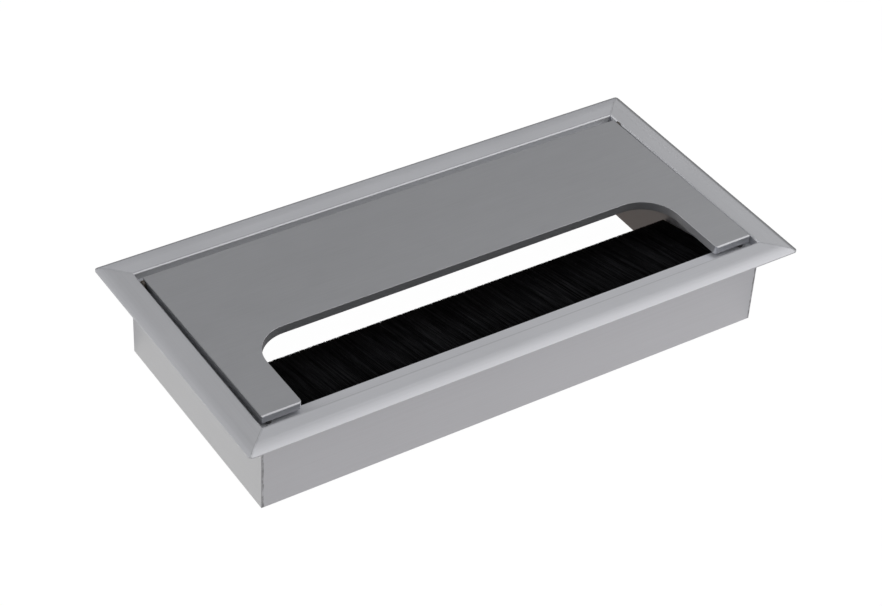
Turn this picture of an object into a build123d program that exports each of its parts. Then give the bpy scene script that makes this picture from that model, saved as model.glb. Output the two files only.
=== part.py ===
"""Rectangular aluminium desk grommet: a mitred flanged frame, a flap lid and a brush seal.

Frame of the model: X runs along the long side, -Y is the brush side, +Z is up.
The origin is the centre of the footprint, at the height of the skirt's bottom edge,
so the desk's surface, where the flange rests, lies at z = skirt_depth.
"""
from build123d import *
from math import cos, radians, sin
import os

os.makedirs("parts", exist_ok=True)

# ---- driving dimensions, millimetres --------------------------------------------------
flange_length = 160.0
flange_width = 80.0
skirt_depth = 24.0
corner_radius = 1.3
mitre_gap = 0.03
# Outlines that trim a section stand this far outside it, so no faces are exactly tangent.
outline_margin = 0.02

# Extrusion section: u is measured inward from the flange's outer edge, z is height.
lip_thickness = 0.3
flange_thickness = 1.0
nosing_width = 3.6
flange_inner_u = 7.45
flange_edge_break = 0.3
ledge_edge_break = 0.25
ledge_drop = 1.2
skirt_outer_u = 6.9
inner_wall_u = 12.0
wall = 1.2
foot_radius = 1.5

# C-shaped groove in the inner wall, which takes the brush strip.
groove_centre_z = 18.3
groove_mouth_height = 2.6
groove_height = 5.2

# Lid: a plate with a U-shaped cable notch, tilted a little by the pads under its front.
lid_half_length = 71.6
lid_thickness = 2.35
lid_front_y = -30.4
lid_front_edge_break = 0.3
lid_outer_corner_radius = 0.3
lid_inner_corner_radius = 0.9
lid_tilt = 0.55
notch_half_length = 60.75
notch_back_y = -3.7
notch_radius = 10.0

# Hinge: a pin in each side edge of the lid, at the centre of its rounded heel.
pivot_y = 28.55
pivot_rise = 0.275
pin_radius = 0.5
pin_clearance = 0.05
pin_depth_in_lid = 5.0
pin_end_break = 0.12
ear_radius = 1.0
ear_thickness = 0.65
insert_length = 3.8
insert_clearance = 0.1
insert_body_height = 3.6

# Pads under the two arms of the lid.
pad_radius = 0.7
pad_x = 69.3
pad_y = -29.6
pad_clearance = 0.04
pad_edge_radius = 0.15

# Brush strip.
brush_half_length = 67.6
channel_height = 4.8
channel_depth = 2.5
channel_wall = 0.6
channel_mouth_height = 2.5
core_wire_radius = 0.5
bristle_tip_y = -0.7
bristle_root_thickness = 2.1
bristle_tip_thickness = 2.5
bristle_drop = 6.3
fibre_clearance = 0.05

# Corner keys.
key_arm = 20.0
key_clearance = 0.1
key_lead_in = 0.8
barb_count = 4
barb_pitch = 4.0
barb_length = 2.8
barb_depth = 0.35
barb_first = 2.8

# ---- derived values -------------------------------------------------------------------
half_length = flange_length / 2
half_width = flange_width / 2
desk_z = skirt_depth
flange_top_z = desk_z + flange_thickness
ledge_z = desk_z - ledge_drop
inner_face_u = inner_wall_u - wall
cavity_u = skirt_outer_u + wall
groove_top_z = groove_centre_z + groove_height / 2
groove_bottom_z = groove_centre_z - groove_height / 2
mouth_top_z = groove_centre_z + groove_mouth_height / 2
mouth_bottom_z = groove_centre_z - groove_mouth_height / 2
chamber_top_z = groove_bottom_z - wall
step_x = half_length - flange_inner_u
pivot_z = desk_z + pivot_rise
opening_half_width = half_width - inner_wall_u


# ---- frame bars -----------------------------------------------------------------------
def make_bar(half_run, half_depth, turn):
    """One sawn length of the extrusion, mitred at both ends, turned about Z into its place.

    The section is drawn with local x running inward from the outer edge and local y up.
    """
    section_plane = Plane(origin=(0, -half_depth, 0), x_dir=(0, 1, 0), z_dir=(1, 0, 0))
    chamber_centre = ((cavity_u + inner_face_u) / 2, (wall + chamber_top_z) / 2)
    reach = inner_wall_u + wall
    with BuildPart() as bar:
        with BuildSketch(section_plane):
            with BuildLine():
                TangentArc(
                    (nosing_width, flange_top_z),
                    (0, desk_z + lip_thickness),
                    tangent=(-1, 0),
                )
                Polyline(
                    (0, desk_z + lip_thickness),
                    (0, desk_z),
                    (skirt_outer_u, desk_z),
                    (skirt_outer_u, 0),
                    (inner_wall_u - foot_radius, 0),
                )
                TangentArc(
                    (inner_wall_u - foot_radius, 0),
                    (inner_wall_u, foot_radius),
                    tangent=(1, 0),
                )
                Polyline(
                    (inner_wall_u, foot_radius),
                    (inner_wall_u, mouth_bottom_z),
                    (inner_face_u, mouth_bottom_z),
                    (inner_face_u, groove_bottom_z),
                    (cavity_u, groove_bottom_z),
                    (cavity_u, groove_top_z),
                    (inner_face_u, groove_top_z),
                    (inner_face_u, mouth_top_z),
                    (inner_wall_u, mouth_top_z),
                    (inner_wall_u, ledge_z - ledge_edge_break),
                    (inner_wall_u - ledge_edge_break, ledge_z),
                    (flange_inner_u, ledge_z),
                    (flange_inner_u, flange_top_z - flange_edge_break),
                    (flange_inner_u - flange_edge_break, flange_top_z),
                    (nosing_width, flange_top_z),
                )
            make_face()
            with Locations(chamber_centre):
                Rectangle(inner_face_u - cavity_u, chamber_top_z - wall, mode=Mode.SUBTRACT)
        extrude(amount=half_run, both=True)
        with BuildSketch():
            RectangleRounded(
                2 * (half_run + outline_margin),
                2 * (half_depth + outline_margin),
                corner_radius,
            )
            with BuildLine():
                Polyline(
                    (-half_run + mitre_gap - outline_margin, -half_depth - outline_margin),
                    (half_run - mitre_gap + outline_margin, -half_depth - outline_margin),
                    (half_run - mitre_gap - reach, -half_depth + reach),
                    (-half_run + mitre_gap + reach, -half_depth + reach),
                    close=True,
                )
            make_face(mode=Mode.INTERSECT)
        extrude(amount=flange_top_z, mode=Mode.INTERSECT)
    return Rotation(0, 0, turn) * bar.part


def export_piece(piece, name):
    """Label one piece with its node's name and write it."""
    piece.label = name
    export_step(piece, f"parts/{name}.step")


frame_bar_front = make_bar(half_length, half_width, 0)
frame_bar_back = make_bar(half_length, half_width, 180)
plain_side_bar = make_bar(half_width, half_length, 90)


# ---- hinge inserts --------------------------------------------------------------------
# Right-hand insert: a body in the upper cavity of the side bar, a neck through a slot in
# the ledge, and a thin ear that stands in the gap beside the lid and carries the pin.
ear_outer_x = step_x - insert_clearance
ear_inner_x = ear_outer_x - ear_thickness
body_outer_x = half_length - cavity_u - insert_clearance
body_inner_x = half_length - inner_face_u + insert_clearance
neck_inner_x = (body_outer_x + body_inner_x) / 2
neck_top_z = ledge_z - insert_clearance

with BuildPart() as hinge_insert:
    with BuildSketch(Plane.YZ.offset(ear_inner_x)):
        with Locations((pivot_y, pivot_z)):
            Circle(ear_radius)
        with BuildLine():
            Polyline(
                (pivot_y - insert_length / 2, groove_top_z),
                (pivot_y + insert_length / 2, groove_top_z),
                (pivot_y + insert_length / 2, neck_top_z),
                (pivot_y + ear_radius, pivot_z),
                (pivot_y - ear_radius, pivot_z),
                (pivot_y - insert_length / 2, neck_top_z),
                close=True,
            )
        make_face()
        with Locations((pivot_y, pivot_z)):
            Circle(pin_radius + pin_clearance, mode=Mode.SUBTRACT)
    extrude(amount=ear_thickness)
    with BuildSketch(Plane.YZ.offset(neck_inner_x)):
        with Locations((pivot_y, (groove_top_z + neck_top_z) / 2)):
            Rectangle(insert_length, neck_top_z - groove_top_z)
    extrude(amount=ear_outer_x - neck_inner_x)
    with BuildSketch(Plane.YZ.offset(body_inner_x)):
        with Locations((pivot_y, groove_top_z - insert_body_height / 2)):
            Rectangle(insert_length, insert_body_height)
    extrude(amount=body_outer_x - body_inner_x)

# The slot for the neck is cut through the ledge of each side bar.
slot_length = insert_length + 2 * insert_clearance
slot_inner_x = neck_inner_x - insert_clearance

with BuildPart() as frame_bar_right:
    add(plain_side_bar)
    with BuildSketch(Plane.XY.offset(groove_top_z)):
        with Locations(((slot_inner_x + step_x) / 2, pivot_y)):
            Rectangle(step_x - slot_inner_x, slot_length)
    extrude(amount=ledge_z - groove_top_z, mode=Mode.SUBTRACT)

frame_bar_left = mirror(frame_bar_right.part, about=Plane.YZ)
hinge_insert_left = mirror(hinge_insert.part, about=Plane.YZ)

export_piece(frame_bar_front, "frame_bar_front")
export_piece(frame_bar_back, "frame_bar_back")
export_piece(frame_bar_left, "frame_bar_left")
export_piece(frame_bar_right.part, "frame_bar_right")
export_piece(hinge_insert_left, "hinge_insert_left")
export_piece(hinge_insert.part, "hinge_insert_right")

# ---- corner keys ----------------------------------------------------------------------
key_outer_x = half_length - cavity_u - key_clearance
key_outer_y = half_width - cavity_u - key_clearance
key_inner_x = half_length - inner_face_u + key_clearance
key_inner_y = half_width - inner_face_u + key_clearance
key_height = chamber_top_z - wall - 2 * key_clearance

with BuildPart() as corner_key:
    with BuildSketch(Plane.XY.offset(wall + key_clearance)):
        with BuildLine():
            Polyline(
                (key_outer_x, key_outer_y),
                (key_outer_x - key_arm, key_outer_y),
                (key_outer_x - key_arm, key_inner_y),
                (key_inner_x, key_inner_y),
                (key_inner_x, key_outer_y - key_arm),
                (key_outer_x, key_outer_y - key_arm),
                close=True,
            )
        make_face()
    extrude(amount=key_height)
    tips = corner_key.faces().sort_by(Axis.X)[:1] + corner_key.faces().sort_by(Axis.Y)[:1]
    chamfer(tips.edges().filter_by(Axis.Z), key_lead_in)
    # Saw-tooth barbs on the inner faces of both arms.
    for barb in range(barb_count):
        x_start = key_outer_x - key_arm + barb_first + barb * barb_pitch
        y_start = key_outer_y - key_arm + barb_first + barb * barb_pitch
        with BuildSketch(Plane.XY.offset(wall + key_clearance)):
            with BuildLine():
                Polyline(
                    (x_start, key_inner_y),
                    (x_start + barb_length, key_inner_y),
                    (x_start + barb_length, key_inner_y + barb_depth),
                    close=True,
                )
            make_face()
            with BuildLine():
                Polyline(
                    (key_inner_x, y_start),
                    (key_inner_x, y_start + barb_length),
                    (key_inner_x + barb_depth, y_start + barb_length),
                    close=True,
                )
            make_face()
        extrude(amount=key_height, mode=Mode.SUBTRACT)

key_back_right = corner_key.part
key_back_left = mirror(key_back_right, about=Plane.YZ)
export_piece(key_back_right, "corner_key_back_right")
export_piece(key_back_left, "corner_key_back_left")
export_piece(mirror(key_back_right, about=Plane.XZ), "corner_key_front_right")
export_piece(mirror(key_back_left, about=Plane.XZ), "corner_key_front_left")

# ---- lid ------------------------------------------------------------------------------
# lid_plane is the lid's middle plane; it holds the hinge axis and tips up to the front.
tilt = radians(lid_tilt)
half_thickness = lid_thickness / 2
lid_plane = Plane(origin=(0, pivot_y, pivot_z), x_dir=(1, 0, 0), z_dir=(0, sin(tilt), cos(tilt)))
side_plane = Plane(origin=(0, pivot_y, pivot_z), x_dir=lid_plane.y_dir, z_dir=(1, 0, 0))
lid_reach = (pivot_y - lid_front_y) / cos(tilt)
notch_reach = (pivot_y - notch_back_y) / cos(tilt)

with BuildPart() as lid:
    # Side view: square front with broken edges, and a heel rounded about the hinge.
    with BuildSketch(side_plane):
        with BuildLine():
            Polyline(
                (half_thickness, 0),
                (half_thickness, half_thickness),
                (lid_front_edge_break - lid_reach, half_thickness),
                (-lid_reach, half_thickness - lid_front_edge_break),
                (-lid_reach, lid_front_edge_break - half_thickness),
                (lid_front_edge_break - lid_reach, -half_thickness),
                (0, -half_thickness),
            )
            TangentArc((0, -half_thickness), (half_thickness, 0), tangent=(1, 0))
        make_face()
    extrude(amount=lid_half_length + outline_margin, both=True)
    # Plan view: the outer edge and the notch, with rounded corners at the arms' tips.
    with BuildSketch(lid_plane) as plan:
        with Locations((0, (half_thickness - lid_reach) / 2)):
            Rectangle(2 * lid_half_length, half_thickness + lid_reach + 2 * outline_margin)
        with Locations((0, -lid_reach)):
            RectangleRounded(
                2 * notch_half_length,
                2 * (lid_reach - notch_reach),
                notch_radius,
                mode=Mode.SUBTRACT,
            )
        outer_tips = plan.vertices().group_by(Axis.Y)[0].sort_by(Axis.X)[::3]
        fillet(outer_tips, lid_outer_corner_radius)
        inner_tips = plan.vertices().group_by(Axis.Y)[0].sort_by(Axis.X)[1:3]
        fillet(inner_tips, lid_inner_corner_radius)
    extrude(amount=lid_thickness, both=True, mode=Mode.INTERSECT)
    for side in (-1, 1):
        bore_x = side * (lid_half_length - pin_depth_in_lid)
        with BuildSketch(Plane(origin=(bore_x, pivot_y, pivot_z), z_dir=(side, 0, 0))):
            Circle(pin_radius)
        extrude(amount=2 * pin_depth_in_lid, mode=Mode.SUBTRACT)

with BuildPart() as hinge_pin:
    pin_start_x = lid_half_length - pin_depth_in_lid
    with BuildSketch(Plane(origin=(pin_start_x, pivot_y, pivot_z), z_dir=(1, 0, 0))):
        Circle(pin_radius)
    extrude(amount=ear_outer_x - pin_start_x)
    chamfer(hinge_pin.faces().sort_by(Axis.X)[-1].edges(), pin_end_break)

export_piece(lid.part, "lid")
export_piece(mirror(hinge_pin.part, about=Plane.YZ), "hinge_pin_left")
export_piece(hinge_pin.part, "hinge_pin_right")

# ---- pads under the lid's arms --------------------------------------------------------
pad_along = (pivot_y - pad_y) / cos(tilt)
pad_top_z = pivot_z + pad_along * sin(tilt) - half_thickness * cos(tilt)
pad_height = pad_top_z - ledge_z - pad_clearance

with BuildPart() as lid_pad:
    with BuildSketch(lid_plane.offset(-half_thickness)):
        with Locations((pad_x, -pad_along)):
            Circle(pad_radius)
    extrude(amount=-pad_height)
    fillet(lid_pad.faces().sort_by(Axis.Z)[0].edges(), pad_edge_radius)

export_piece(mirror(lid_pad.part, about=Plane.YZ), "lid_pad_left")
export_piece(lid_pad.part, "lid_pad_right")

# ---- brush strip in the front bar -----------------------------------------------------
channel_back_y = -half_width + cavity_u + fibre_clearance
channel_front_y = channel_back_y + channel_depth
root_back_y = channel_back_y + channel_wall
root_front_y = channel_front_y - channel_wall
channel_half_height = channel_height / 2
root_half_height = channel_half_height - channel_wall
throat_half_height = channel_mouth_height / 2
wire_y = (root_back_y + root_front_y) / 2
slot_y = -opening_half_width
strip_start = Plane(origin=(-brush_half_length, 0, groove_centre_z), x_dir=(0, 1, 0), z_dir=(1, 0, 0))

with BuildPart() as brush_channel:
    with BuildSketch(strip_start):
        with Locations(((channel_back_y + channel_front_y) / 2, 0)):
            Rectangle(channel_depth, channel_height)
        with Locations((wire_y, 0)):
            Rectangle(root_front_y - root_back_y, 2 * root_half_height, mode=Mode.SUBTRACT)
        with Locations((channel_front_y, 0)):
            Rectangle(2 * channel_wall, 2 * throat_half_height, mode=Mode.SUBTRACT)
    extrude(amount=2 * brush_half_length)

with BuildPart() as brush_core_wire:
    with BuildSketch(strip_start):
        with Locations((wire_y, 0)):
            Circle(core_wire_radius)
    extrude(amount=2 * brush_half_length)

# The fibres fold round the wire, leave through the groove's mouth and droop to their tips.
fibre_back_y = root_back_y + fibre_clearance
fibre_front_y = root_front_y - fibre_clearance
fold_half_height = root_half_height - fibre_clearance
half_root = bristle_root_thickness / 2

with BuildPart() as brush_bristles:
    with BuildSketch(strip_start):
        with BuildLine():
            Polyline(
                (fibre_back_y, fold_half_height),
                (fibre_front_y, fold_half_height),
                (fibre_front_y, half_root),
                (slot_y, half_root),
                (bristle_tip_y, half_root - bristle_drop),
                (bristle_tip_y, half_root - bristle_drop - bristle_tip_thickness),
                (slot_y, -half_root),
                (fibre_front_y, -half_root),
                (fibre_front_y, -fold_half_height),
                (fibre_back_y, -fold_half_height),
                close=True,
            )
        make_face()
        with Locations((wire_y, 0)):
            Circle(core_wire_radius, mode=Mode.SUBTRACT)
    extrude(amount=2 * brush_half_length)

export_piece(brush_channel.part, "brush_channel")
export_piece(brush_core_wire.part, "brush_core_wire")
export_piece(brush_bristles.part, "brush_bristles")
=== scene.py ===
import math

import bpy
import numpy as np
from mathutils import Matrix, Vector


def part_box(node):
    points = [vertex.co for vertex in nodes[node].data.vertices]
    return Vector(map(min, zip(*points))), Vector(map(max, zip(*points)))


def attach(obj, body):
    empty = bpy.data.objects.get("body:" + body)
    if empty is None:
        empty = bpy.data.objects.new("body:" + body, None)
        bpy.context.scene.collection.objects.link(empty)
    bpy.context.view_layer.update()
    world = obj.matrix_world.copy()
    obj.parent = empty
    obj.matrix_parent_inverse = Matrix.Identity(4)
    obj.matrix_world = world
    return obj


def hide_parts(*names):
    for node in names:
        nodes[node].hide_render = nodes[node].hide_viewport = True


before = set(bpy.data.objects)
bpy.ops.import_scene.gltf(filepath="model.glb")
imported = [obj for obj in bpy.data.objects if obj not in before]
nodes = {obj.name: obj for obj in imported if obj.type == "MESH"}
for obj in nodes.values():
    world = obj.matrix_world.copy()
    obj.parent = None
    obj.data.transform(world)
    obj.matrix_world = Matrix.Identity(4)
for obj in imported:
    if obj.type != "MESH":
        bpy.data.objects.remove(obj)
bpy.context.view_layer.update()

MM = 0.001
FLANGE_THICKNESS = 1.0 * MM

# ---- places read from the frame --------------------------------------------------------
front_bar_low, front_bar_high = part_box("frame_bar_front")
flange_underside = front_bar_high.z - FLANGE_THICKNESS
half_length = front_bar_high.x
half_width = -front_bar_low.y
lid_half_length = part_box("lid")[1].x


# ---- materials -------------------------------------------------------------------------
class Recipe:
    """One Principled material, with helpers that add pattern nodes and link them."""

    def __init__(self, name, **sockets):
        self.material = bpy.data.materials.new(name)
        self.material.use_nodes = True
        self.tree = self.material.node_tree
        self.shader = self.tree.nodes["Principled BSDF"]
        for socket, value in sockets.items():
            self.shader.inputs[socket.replace("_", " ")].default_value = value
        self.position = self.node("TexCoord").outputs["Object"]

    def node(self, kind, inputs=None, **settings):
        """Adds a shader node; inputs holds plain values and outputs of other nodes."""
        made = self.tree.nodes.new("ShaderNode" + kind)
        for setting, value in settings.items():
            setattr(made, setting, value)
        for socket, value in (inputs or {}).items():
            if isinstance(value, bpy.types.NodeSocket):
                self.tree.links.new(value, made.inputs[socket])
            else:
                made.inputs[socket].default_value = value
        return made

    def feed(self, socket, output):
        self.tree.links.new(output, self.shader.inputs[socket])

    def place(self):
        """The part's own X, Y and Z, as three outputs."""
        return self.node("SeparateXYZ", {"Vector": self.position}).outputs

    def noise(self, scale, detail=3.0, roughness=0.55):
        """Noise from 0 to 1; scale is in features per metre, one number for each axis."""
        stretched = self.node(
            "Mapping", {"Vector": self.position, "Scale": scale}, vector_type="POINT"
        )
        pattern = self.node(
            "TexNoise",
            {
                "Vector": stretched.outputs["Vector"],
                "Scale": 1.0,
                "Detail": detail,
                "Roughness": roughness,
            },
        )
        return pattern.outputs["Fac"]

    def spread(self, value, low, high, start=0.3, stop=0.7):
        """Maps a pattern's range from start to stop onto low to high."""
        ranged = self.node(
            "MapRange",
            {
                "Value": value,
                "From Min": start,
                "From Max": stop,
                "To Min": low,
                "To Max": high,
            },
        )
        return ranged.outputs["Result"]

    def over(self, mask, low, high):
        """Maps a mask's whole range, 0 to 1, onto low to high."""
        return self.spread(mask, low, high, start=0.0, stop=1.0)

    def combine(self, operation, first, second):
        return self.node("Math", {0: first, 1: second}, operation=operation).outputs[0]

    def times(self, first, *others):
        """The product of two or more patterns."""
        for other in others:
            first = self.combine("MULTIPLY", first, other)
        return first

    def minus(self, first, second):
        return self.combine("SUBTRACT", first, second)

    def size(self, value):
        """A value without its sign."""
        return self.combine("ABSOLUTE", value, 0.0)

    def shade(self, colour, brightness):
        """A colour times a brightness pattern."""
        mixed = self.node(
            "Mix",
            {"Factor": 1.0, "A": colour, "B": brightness},
            data_type="RGBA",
            blend_type="MULTIPLY",
        )
        return mixed.outputs["Result"]

    def soft_edges(self, radius):
        """The normal with every edge rounded by the radius, and a mask of those edges."""
        rounded = self.node("Bevel", {"Radius": radius}, samples=6).outputs["Normal"]
        flat = self.node("NewGeometry").outputs["Normal"]
        agree = self.node("VectorMath", {0: rounded, 1: flat}, operation="DOT_PRODUCT")
        mask = self.spread(agree.outputs["Value"], 1.0, 0.0, start=0.82, stop=0.99)
        return rounded, mask

    def bump(self, height, depth, normal=None):
        """Bump of a height pattern, depth metres deep."""
        inputs = {"Height": height, "Strength": 1.0, "Distance": depth}
        if normal is not None:
            inputs["Normal"] = normal
        return self.node("Bump", inputs).outputs["Normal"]


# Insets are measured inward from the flange's outline.
# Painted shade: a dark line lies along the flange's top at this inset.
INNER_PAINTED_SHADE_INSET = 7.02 * MM
# Painted shade: the step's upright face is mixed towards this grey.
PAINTED_STEP_GREY = (0.68, 0.688, 0.705, 1.0)


def frame_seams_and_painted_shade(recipe, place, from_end, from_side, inset):
    """How much of the metal's brightness its seams and its painted shade lines take away.

    A ragged dark seam runs down each mitre, strong on the skirt and faint on the flange.
    A line of painted shade follows the flange's inner edge, and another line of painted shade its
    outer edge at the back and on the right.
    """
    distance = recipe.size(recipe.minus(from_end, from_side))
    ragged = recipe.spread(recipe.noise((900.0, 900.0, 700.0)), -0.16 * MM, 0.16 * MM)
    seam = recipe.spread(
        recipe.combine("ADD", distance, ragged), 1.0, 0.0, start=0.04 * MM, stop=0.26 * MM
    )
    depth = recipe.spread(
        place["Z"],
        0.55,
        0.14,
        start=flange_underside - 0.8 * MM,
        stop=flange_underside + 0.2 * MM,
    )
    on_top = recipe.spread(
        place["Z"],
        0.0,
        0.16,
        start=flange_underside + 0.4 * MM,
        stop=flange_underside + 0.6 * MM,
    )
    # Painted shade: a dark line along the flange's inner edge, on its top.
    off_line = recipe.size(recipe.minus(inset, INNER_PAINTED_SHADE_INSET))
    inner_painted_shade = recipe.times(
        on_top, recipe.spread(off_line, 1.0, 0.0, start=0.1 * MM, stop=0.3 * MM)
    )
    # Painted shade: a dark line along the outer edge at the back and on the right.
    from_far_edge = recipe.combine(
        "MINIMUM", recipe.minus(half_length, place["X"]), recipe.minus(half_width, place["Y"])
    )
    outer_painted_shade = recipe.spread(from_far_edge, 0.5, 0.0, start=0.3 * MM, stop=1.0 * MM)
    lines = recipe.combine("MAXIMUM", inner_painted_shade, outer_painted_shade)
    return recipe.combine("MAXIMUM", recipe.times(seam, depth), lines)


def step_face(recipe, place, inset, start):
    """A mask of the upright face between the flange and the ledge, from an inset of start."""
    inside = recipe.spread(inset, 0.0, 1.0, start=start, stop=start + 0.08 * MM)
    above = recipe.spread(
        place["Z"],
        0.0,
        1.0,
        start=flange_underside - 1.15 * MM,
        stop=flange_underside - 1.05 * MM,
    )
    return recipe.times(inside, above)


def run_scale(axis, along, across):
    """Noise scale for a grain that runs along one axis of the part."""
    return tuple(along if index == "XYZ".index(axis) else across for index in range(3))


def grey(value):
    return (value, value, value, 1.0)


def extruded_aluminium(name, axis, colour, painted_side_shade, painted_step_shade, step_start):
    """Satin natural anodising over fine die lines, which run along the bar.

    The side tones are painted shade: the metal's brightness given at the left and right ends of the
    frame.
    The step tones are painted shade on the step's upright face, which is also mixed to a more neutral
    grey and starts at an inset of step_start.
    """
    recipe = Recipe(name, Metallic=0.45)
    place = recipe.place()
    from_end = recipe.minus(half_length, recipe.size(place["X"]))
    from_side = recipe.minus(half_width, recipe.size(place["Y"]))
    inset = recipe.combine("MINIMUM", from_end, from_side)
    on_step = step_face(recipe, place, inset, step_start)
    rounded, edges = recipe.soft_edges(0.09 * MM)
    die_lines = recipe.noise(run_scale(axis, 14.0, 3600.0), detail=2.0)
    haze = recipe.noise((34.0, 34.0, 34.0))
    pores = recipe.noise((5200.0, 5200.0, 5200.0), detail=1.0)
    seams_and_painted_shade = frame_seams_and_painted_shade(recipe, place, from_end, from_side, inset)
    # Painted shade: the bars' brightness from left to right, darker on the left bar than on the
    # right.
    painted_side_tone = recipe.spread(place["X"], *painted_side_shade, start=-half_length, stop=half_length)
    # Painted shade on the step's upright face, from left to right.
    painted_step_tone = recipe.spread(place["X"], *painted_step_shade, start=-half_length, stop=half_length)
    painted_step_extra = recipe.times(recipe.minus(painted_step_tone, painted_side_tone), on_step)
    bright = recipe.times(
        recipe.spread(die_lines, 0.98, 1.02),
        recipe.spread(haze, 0.985, 1.015),
        # Painted shade: the edges' colour is dimmed, which dulls their highlight.
        recipe.over(edges, 1.0, 0.85),
        recipe.minus(1.0, seams_and_painted_shade),
        recipe.combine("ADD", painted_side_tone, painted_step_extra),
    )
    # Painted shade: the step's upright face is mixed to a neutral grey.
    with_painted_step_grey = recipe.node(
        "Mix", {"Factor": on_step, "A": colour, "B": PAINTED_STEP_GREY}, data_type="RGBA"
    )
    recipe.feed("Base Color", recipe.shade(with_painted_step_grey.outputs["Result"], bright))
    rough = recipe.combine(
        "ADD", recipe.spread(die_lines, 0.41, 0.46), recipe.spread(haze, -0.02, 0.02)
    )
    recipe.feed("Roughness", recipe.minus(rough, recipe.over(edges, 0.0, 0.05)))
    height = recipe.combine("ADD", die_lines, recipe.times(pores, 0.5))
    recipe.feed("Normal", recipe.bump(height, 0.0012 * MM, rounded))
    return recipe.material


def brushed_lid():
    """Aluminium plate, brushed along its length and anodised a shade darker than the frame.

    Painted highlight brightens its edges; painted shade darkens its left side to half and its right
    side to four fifths.
    """
    recipe = Recipe("lid_brushed", Metallic=0.7, Anisotropic=0.3)
    along = recipe.node(
        "VectorTransform",
        {"Vector": (1.0, 0.0, 0.0)},
        convert_from="OBJECT",
        convert_to="WORLD",
    )
    recipe.feed("Tangent", along.outputs["Vector"])
    place = recipe.place()
    rounded, edges = recipe.soft_edges(0.13 * MM)
    brushing = recipe.noise(run_scale("X", 130.0, 8000.0))
    long_strokes = recipe.noise(run_scale("X", 16.0, 2200.0), detail=2.0)
    haze = recipe.noise((26.0, 40.0, 40.0), detail=2.0)
    near, far = lid_half_length - 0.22 * MM, lid_half_length - 0.06 * MM
    bright = recipe.times(
        recipe.spread(brushing, 0.965, 1.035),
        recipe.spread(long_strokes, 0.99, 1.01),
        recipe.spread(haze, 0.985, 1.015),
        # Painted highlight on the edges; painted shade on the left side and, lighter, on the right
        # side.
        recipe.over(edges, 1.0, 1.2),
        recipe.spread(place["X"], 0.5, 1.0, start=-far, stop=-near),
        recipe.spread(place["X"], 1.0, 0.8, start=near, stop=far),
    )
    recipe.feed("Base Color", recipe.shade((0.555, 0.567, 0.602, 1.0), bright))
    rough = recipe.minus(recipe.spread(brushing, 0.37, 0.45), recipe.over(edges, 0.0, 0.06))
    recipe.feed("Roughness", rough)
    recipe.feed("Normal", recipe.bump(brushing, 0.0012 * MM, rounded))
    return recipe.material


def moulded_plastic(name, colour, roughness):
    """Moulded plastic with a fine spark-eroded texture and slightly polished edges."""
    recipe = Recipe(name)
    rounded, edges = recipe.soft_edges(0.1 * MM)
    texture = recipe.noise((2600.0, 2600.0, 2600.0))
    flow = recipe.noise((160.0, 160.0, 160.0), detail=2.0)
    bright = recipe.times(recipe.spread(flow, 0.88, 1.12), recipe.over(edges, 1.0, 1.3))
    recipe.feed("Base Color", recipe.shade((*colour, 1.0), bright))
    recipe.feed("Roughness", recipe.spread(texture, roughness - 0.06, roughness + 0.06))
    recipe.feed("Normal", recipe.bump(texture, 0.006 * MM, rounded))
    return recipe.material


def drawn_steel(name, colour, roughness, axis):
    """Drawn or rolled steel with draw lines along its length."""
    recipe = Recipe(name, Metallic=1.0)
    rounded, _ = recipe.soft_edges(0.06 * MM)
    lines = recipe.noise(run_scale(axis, 60.0, 6000.0), detail=2.0)
    spangle = recipe.noise((420.0, 420.0, 420.0), detail=4.0)
    bright = recipe.times(recipe.spread(lines, 0.92, 1.06), recipe.spread(spangle, 0.88, 1.1))
    recipe.feed("Base Color", recipe.shade((*colour, 1.0), bright))
    recipe.feed("Roughness", recipe.spread(spangle, roughness - 0.05, roughness + 0.07))
    recipe.feed("Normal", recipe.bump(lines, 0.003 * MM, rounded))
    return recipe.material


def soft_rubber():
    """Matt black rubber with a dusty bloom."""
    recipe = Recipe("pad_rubber", Specular_IOR_Level=0.35)
    rounded, edges = recipe.soft_edges(0.08 * MM)
    grain = recipe.noise((3000.0, 3000.0, 3000.0))
    bloom = recipe.noise((500.0, 500.0, 500.0), detail=2.0)
    bright = recipe.times(recipe.spread(bloom, 0.8, 1.5), recipe.over(edges, 1.0, 1.4))
    recipe.feed("Base Color", recipe.shade((0.045, 0.045, 0.046, 1.0), bright))
    recipe.feed("Roughness", recipe.spread(grain, 0.68, 0.85))
    recipe.feed("Normal", recipe.bump(grain, 0.01 * MM, rounded))
    return recipe.material


def nylon_filament():
    """Black nylon filament, with painted shade that darkens it towards its root.

    Each filament, and each clump, has its own depth of black and gloss.
    """
    recipe = Recipe("bristle_fibre", Specular_Tint=(0.84, 0.88, 1.0, 1.0))
    each = recipe.node("NewGeometry").outputs["Random Per Island"]
    clumps = recipe.noise((1700.0, 60.0, 400.0))
    root_shade_and_variation = recipe.times(
        # Painted shade: darker towards the root.
        recipe.spread(recipe.place()["Y"], 0.3, 1.0, start=-25 * MM, stop=-14 * MM),
        recipe.over(each, 0.25, 1.75),
        recipe.spread(clumps, 0.35, 1.7),
    )
    recipe.feed("Base Color", recipe.shade((0.0026, 0.0026, 0.003, 1.0), root_shade_and_variation))
    recipe.feed("Specular IOR Level", recipe.times(root_shade_and_variation, 0.2))
    recipe.feed("Roughness", recipe.over(each, 0.38, 0.58))
    recipe.feed("Normal", recipe.bump(clumps, 0.01 * MM))
    return recipe.material


def dress(node, material):
    """Gives a CAD node its material in every slot."""
    mesh = nodes[node].data
    mesh.materials.clear()
    mesh.materials.append(material)


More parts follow.
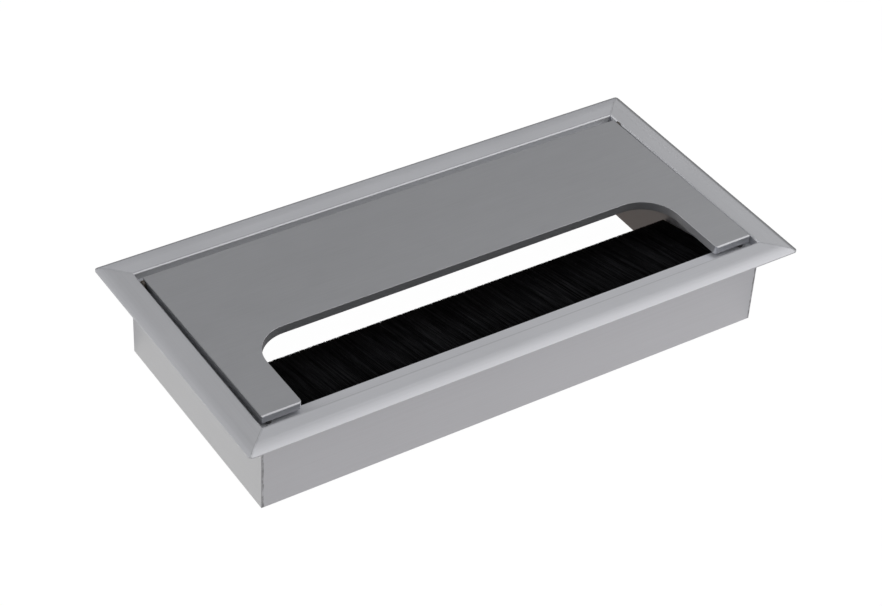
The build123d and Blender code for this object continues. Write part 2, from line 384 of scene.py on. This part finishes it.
# The front and back bars carry painted shade on the step's upright face, darker on the left.
bar_along_x = extruded_aluminium(
    "frame_anodised_x",
    "X",
    (0.674, 0.687, 0.736, 1.0),
    painted_side_shade=(1.0, 1.0),
    painted_step_shade=(0.66, 1.04),
    step_start=7.36 * MM,
)
# The left and right bars carry painted shade: the left one darker, and the step's upright face nearly
# black.
bar_along_y = extruded_aluminium(
    "frame_anodised_y",
    "Y",
    (0.674, 0.687, 0.731, 1.0),
    painted_side_shade=(0.885, 0.95),
    painted_step_shade=(0.12, 0.12),
    step_start=7.32 * MM,
)
lid_metal = brushed_lid()
key_nylon = moulded_plastic("key_nylon", (0.03, 0.03, 0.033), 0.5)
insert_nylon = moulded_plastic("insert_nylon", (0.055, 0.045, 0.036), 0.48)
pin_steel = drawn_steel("pin_steel", (0.58, 0.58, 0.57), 0.24, "X")
channel_zinc = drawn_steel("channel_zinc", (0.5, 0.51, 0.52), 0.38, "X")
wire_steel = drawn_steel("wire_steel", (0.46, 0.46, 0.45), 0.3, "X")
pad_rubber = soft_rubber()
filament = nylon_filament()

for side in ("front", "back"):
    dress(f"frame_bar_{side}", bar_along_x)
for side in ("left", "right"):
    dress(f"frame_bar_{side}", bar_along_y)
    dress(f"hinge_insert_{side}", insert_nylon)
    dress(f"hinge_pin_{side}", pin_steel)
    dress(f"lid_pad_{side}", pad_rubber)
    dress(f"corner_key_front_{side}", key_nylon)
    dress(f"corner_key_back_{side}", key_nylon)
dress("lid", lid_metal)
dress("brush_channel", channel_zinc)
dress("brush_core_wire", wire_steel)

# ---- bristles --------------------------------------------------------------------------
# Every filament leaves the channel beside the core wire, passes the groove's mouth and
# droops to its tip. Clumps of filaments lean together, as on a strip that has been handled.
FILAMENT_RADIUS = 0.105 * MM
FILAMENT_SIDES = 3
FILAMENT_TIP_TAPER = 0.92
STATIONS = 6
LAYERS = 10
PITCH = 1.94 * FILAMENT_RADIUS
MOUTH_Y = -28.0 * MM
DROOP = 6.3 * MM
ROOT_HALF = 1.05 * MM - FILAMENT_RADIUS
TIP_HALF = 1.25 * MM - FILAMENT_RADIUS
SECTION_NAMES = ("left", "middle_left", "middle_right", "right")


def smooth_walk(rng, count, step, amount):
    """A smooth random function of position: knots every step entries, eased between."""
    knots = rng.normal(0.0, amount, count // step + 3)
    places = np.arange(count) / step
    low = places.astype(int)
    blend = places - low
    blend = blend * blend * (3 - 2 * blend)
    return knots[low] * (1 - blend) + knots[low + 1] * blend


def filament_path(root_x, tip_x, tip_z, length, share, wire_y, wire_z):
    """The stations of one filament: its start beside the wire, then mouth to tip."""
    beside = share * (0.5 * MM + 1.0 * MM * abs(share)) + np.sign(share) * FILAMENT_RADIUS
    path = [(root_x, wire_y, wire_z + beside)]
    root_z = wire_z + share * ROOT_HALF
    for station in range(1, STATIONS):
        out = (station - 1) / (STATIONS - 2)
        path.append(
            (
                root_x + (tip_x - root_x) * out ** 1.4,
                MOUTH_Y + length * out,
                root_z + (tip_z - root_z) * out,
            )
        )
    return path


def build_bristles():
    """Makes the brush in a few lengths side by side, each one mesh of closed filaments."""
    low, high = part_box("brush_bristles")
    wire_low, wire_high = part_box("brush_core_wire")
    wire_y = (wire_low.y + wire_high.y) / 2
    wire_z = (wire_low.z + wire_high.z) / 2
    first_x, last_x = low.x + FILAMENT_RADIUS, high.x - FILAMENT_RADIUS
    middle_tip_z = wire_z - DROOP
    per_layer = int((high.x - low.x - 2 * FILAMENT_RADIUS) / PITCH)
    sections = len(SECTION_NAMES)
    strands = [[] for _ in range(sections)]
    rng = np.random.default_rng(20)
    clump_lean = smooth_walk(rng, per_layer, 40, 0.65 * MM)
    for layer in range(LAYERS):
        # share runs from 1 in the top layer to -1 in the bottom one, closer at the top.
        share = 1 - 2 * (layer / (LAYERS - 1)) ** 1.3
        lean = np.roll(clump_lean, 5 * layer) + smooth_walk(rng, per_layer, 14, 0.14 * MM)
        for index in range(per_layer):
            root_x = low.x + FILAMENT_RADIUS + PITCH * (index + 0.5) + rng.normal(0, 0.03 * MM)
            tip_x = root_x + lean[index] + rng.normal(0, 0.06 * MM)
            root_x = min(max(root_x, first_x), last_x)
            tip_x = min(max(tip_x, first_x), last_x)
            tip_z = middle_tip_z + share * TIP_HALF * 0.9 + rng.normal(0, 0.025 * MM)
            tip_z = min(max(tip_z, middle_tip_z - TIP_HALF), middle_tip_z + TIP_HALF)
            length = high.y - abs(rng.normal(0, 0.03 * MM)) - MOUTH_Y
            path = filament_path(root_x, tip_x, tip_z, length, share, wire_y, wire_z)
            section = min(int((root_x - low.x) / (high.x - low.x) * sections), sections - 1)
            strands[section].append((path, rng.uniform(0, 2 * math.pi)))
    for name, own in zip(SECTION_NAMES, strands):
        make_strands(f"brush_bristles_{name}", own)


def make_strands(name, strands):
    """One mesh of thin closed tubes, one for each path."""
    ring = FILAMENT_SIDES
    count = len(strands)
    points = np.zeros((count, STATIONS, ring, 3), np.float32)
    for place, (path, turn) in enumerate(strands):
        for station, (x, y, z) in enumerate(path):
            taper = FILAMENT_TIP_TAPER if station == STATIONS - 1 else 1.0
            for corner in range(ring):
                angle = turn + corner * 2 * math.pi / ring
                points[place, station, corner] = (
                    x + FILAMENT_RADIUS * taper * math.cos(angle),
                    y,
                    z + FILAMENT_RADIUS * taper * math.sin(angle),
                )
    faces = []
    for place in range(count):
        base = place * STATIONS * ring
        for station in range(STATIONS - 1):
            here = base + station * ring
            for corner in range(ring):
                following = (corner + 1) % ring
                faces.append(
                    (
                        here + corner,
                        here + ring + corner,
                        here + ring + following,
                        here + following,
                    )
                )
        faces.append(tuple(base + corner for corner in range(ring)))
        last = base + (STATIONS - 1) * ring
        faces.append(tuple(last + corner for corner in reversed(range(ring))))
    mesh = bpy.data.meshes.new(name)
    mesh.from_pydata(points.reshape(-1, 3).tolist(), [], faces)
    mesh.shade_smooth()
    mesh.materials.append(filament)
    piece = bpy.data.objects.new(name, mesh)
    bpy.context.scene.collection.objects.link(piece)
    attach(piece, "frame")
    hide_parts("brush_bristles")


build_bristles()

# ---- camera ----------------------------------------------------------------------------
camera_target = Vector((-11.45 * MM, -13.11 * MM, flange_underside))
camera_azimuth = 34.581
camera_elevation = 38.747
camera_roll = 3.461
camera_distance = 591.71 * MM
camera_lens = 97.935


def aim(azimuth, elevation, roll):
    """Rotation of a camera that looks along +Y turned by azimuth towards +X, and down."""
    turn = Matrix.Rotation(math.radians(-azimuth), 4, "Z")
    tip = Matrix.Rotation(math.radians(90 - elevation), 4, "X")
    lean = Matrix.Rotation(math.radians(roll), 4, "Z")
    return turn @ tip @ lean


camera_data = bpy.data.cameras.new("camera")
camera_data.lens = camera_lens
camera_data.sensor_width = 36.0
camera_data.clip_start = 0.01
camera = bpy.data.objects.new("camera", camera_data)
bpy.context.collection.objects.link(camera)
turned = aim(camera_azimuth, camera_elevation, camera_roll)
backward = turned @ Vector((0, 0, 1))
camera.matrix_world = Matrix.Translation(camera_target + camera_distance * backward) @ turned
bpy.context.scene.camera = camera
bpy.context.scene.view_settings.view_transform = "Standard"


# ---- studio ----------------------------------------------------------------------------
def ramp(tree, value, levels):
    """A ramp of colours; levels is a list of (value from 0 to 1, colour)."""
    made = tree.nodes.new("ShaderNodeValToRGB")
    tree.links.new(value, made.inputs["Fac"])
    stops = made.color_ramp.elements
    while len(stops) < len(levels):
        stops.new(0.5)
    for stop, (position, colour) in zip(stops, levels):
        stop.position = position
        stop.color = colour
    return made.outputs["Color"]


def studio_sky(surround, lobes):
    """A plain grey surround, lighter overhead, with a few very broad soft lights in it.

    surround gives radiance by the height of a direction. Each lobe is a direction, a tint,
    and radiance by the cosine of the angle to that direction.
    """
    world = bpy.data.worlds.new("studio")
    bpy.context.scene.world = world
    world.use_nodes = True
    tree = world.node_tree
    direction = tree.nodes.new("ShaderNodeTexCoord").outputs["Generated"]
    parts = tree.nodes.new("ShaderNodeSeparateXYZ")
    tree.links.new(direction, parts.inputs["Vector"])
    total = ramp(tree, parts.outputs["Z"], [(place, grey(level)) for place, level in surround])
    for centre, tint, levels in lobes:
        towards = tree.nodes.new("ShaderNodeVectorMath")
        towards.operation = "DOT_PRODUCT"
        tree.links.new(direction, towards.inputs[0])
        towards.inputs[1].default_value = Vector(centre).normalized()
        colours = [(place, (*(level * part for part in tint), 1.0)) for place, level in levels]
        added = tree.nodes.new("ShaderNodeVectorMath")
        added.operation = "ADD"
        tree.links.new(total, added.inputs[0])
        tree.links.new(ramp(tree, towards.outputs["Value"], colours), added.inputs[1])
        total = added.outputs["Vector"]
    tree.links.new(total, tree.nodes["Background"].inputs["Color"])


def glow(name, tint, albedo=0.0, rise=0.0):
    """A matt stage material that gives light of a tint, which may rise towards +X."""
    material = bpy.data.materials.new(name)
    material.use_nodes = True
    shader = material.node_tree.nodes["Principled BSDF"]
    shader.inputs["Base Color"].default_value = grey(albedo)
    shader.inputs["Specular IOR Level"].default_value = 0.0
    shader.inputs["Roughness"].default_value = 1.0
    shader.inputs["Emission Color"].default_value = (*tint, 1.0)
    shader.inputs["Emission Strength"].default_value = 1.0
    if rise:
        tree = material.node_tree
        place = tree.nodes.new("ShaderNodeSeparateXYZ")
        tree.links.new(tree.nodes.new("ShaderNodeTexCoord").outputs["Object"], place.inputs["Vector"])
        level = tree.nodes.new("ShaderNodeMapRange")
        tree.links.new(place.outputs["X"], level.inputs["Value"])
        for socket, value in (
            ("From Min", -half_length),
            ("From Max", half_length),
            ("To Min", 1 - rise),
            ("To Max", 1 + rise),
        ):
            level.inputs[socket].default_value = value
        tree.links.new(level.outputs["Result"], shader.inputs["Emission Strength"])
    return material


def sheet(name, height, materials, hole=None):
    """A large flat sheet round the object, whole or as four panels round a hole."""
    reach = 1.5
    corners = [(-1, -1), (1, -1), (1, 1), (-1, 1)]
    points = [(x * reach, y * reach, height) for x, y in corners]
    faces = [(0, 1, 2, 3)]
    if hole is not None:
        points += [(x * hole[0], y * hole[1], height) for x, y in corners]
        faces = [(k, (k + 1) % 4, 4 + (k + 1) % 4, 4 + k) for k in range(4)]
    mesh = bpy.data.meshes.new(name)
    mesh.from_pydata(points, [], faces)
    for index, material in enumerate(materials):
        mesh.materials.append(material)
        mesh.polygons[index].material_index = index
    made = bpy.data.objects.new(name, mesh)
    bpy.context.scene.collection.objects.link(made)
    return made


studio_sky(
    surround=[(0.0, 0.09), (0.15, 0.12), (0.5, 0.115), (0.72, 0.12), (1.0, 0.16)],
    lobes=[
        (
            (0.70, -0.27, 0.66),
            (1.0, 0.985, 0.955),
            [(0.47, 0.0), (0.60, 0.15), (0.755, 0.42), (0.89, 1.34), (1.0, 1.65)],
        ),
        (
            (-0.80, 0.50, 0.33),
            (1.0, 0.99, 0.975),
            [(0.45, 0.0), (0.60, 0.12), (0.80, 0.70), (0.95, 1.6), (1.0, 1.8)],
        ),
    ],
)

# The sheet that the camera sees is white, and takes only a faint shadow. The metal sees
# four panels under it instead, which stop at the skirt, and a dim sheet inside the frame.
seen_floor = sheet("floor_seen", -0.3 * MM, [glow("floor_white", (0.99, 0.99, 0.99), albedo=0.03)])
seen_floor.visible_diffuse = False
seen_floor.visible_glossy = False
seen_floor.visible_shadow = False
panels = {
    "front": ((0.61, 0.59, 0.575), 0.08),
    "right": ((0.36, 0.36, 0.36), 0.0),
    "back": ((0.30, 0.30, 0.30), 0.0),
    "left": ((0.69, 0.675, 0.635), 0.0),
}
bounce_floor = sheet(
    "floor_bounce",
    -0.5 * MM,
    [glow(f"floor_bounce_{side}", tint, rise=rise) for side, (tint, rise) in panels.items()],
    hole=(half_length - 7 * MM, half_width - 7 * MM),
)
bounce_floor.visible_camera = False
well_floor = sheet("floor_well", -0.8 * MM, [glow("floor_well", (0.17, 0.146, 0.128))])
well_floor.visible_camera = False
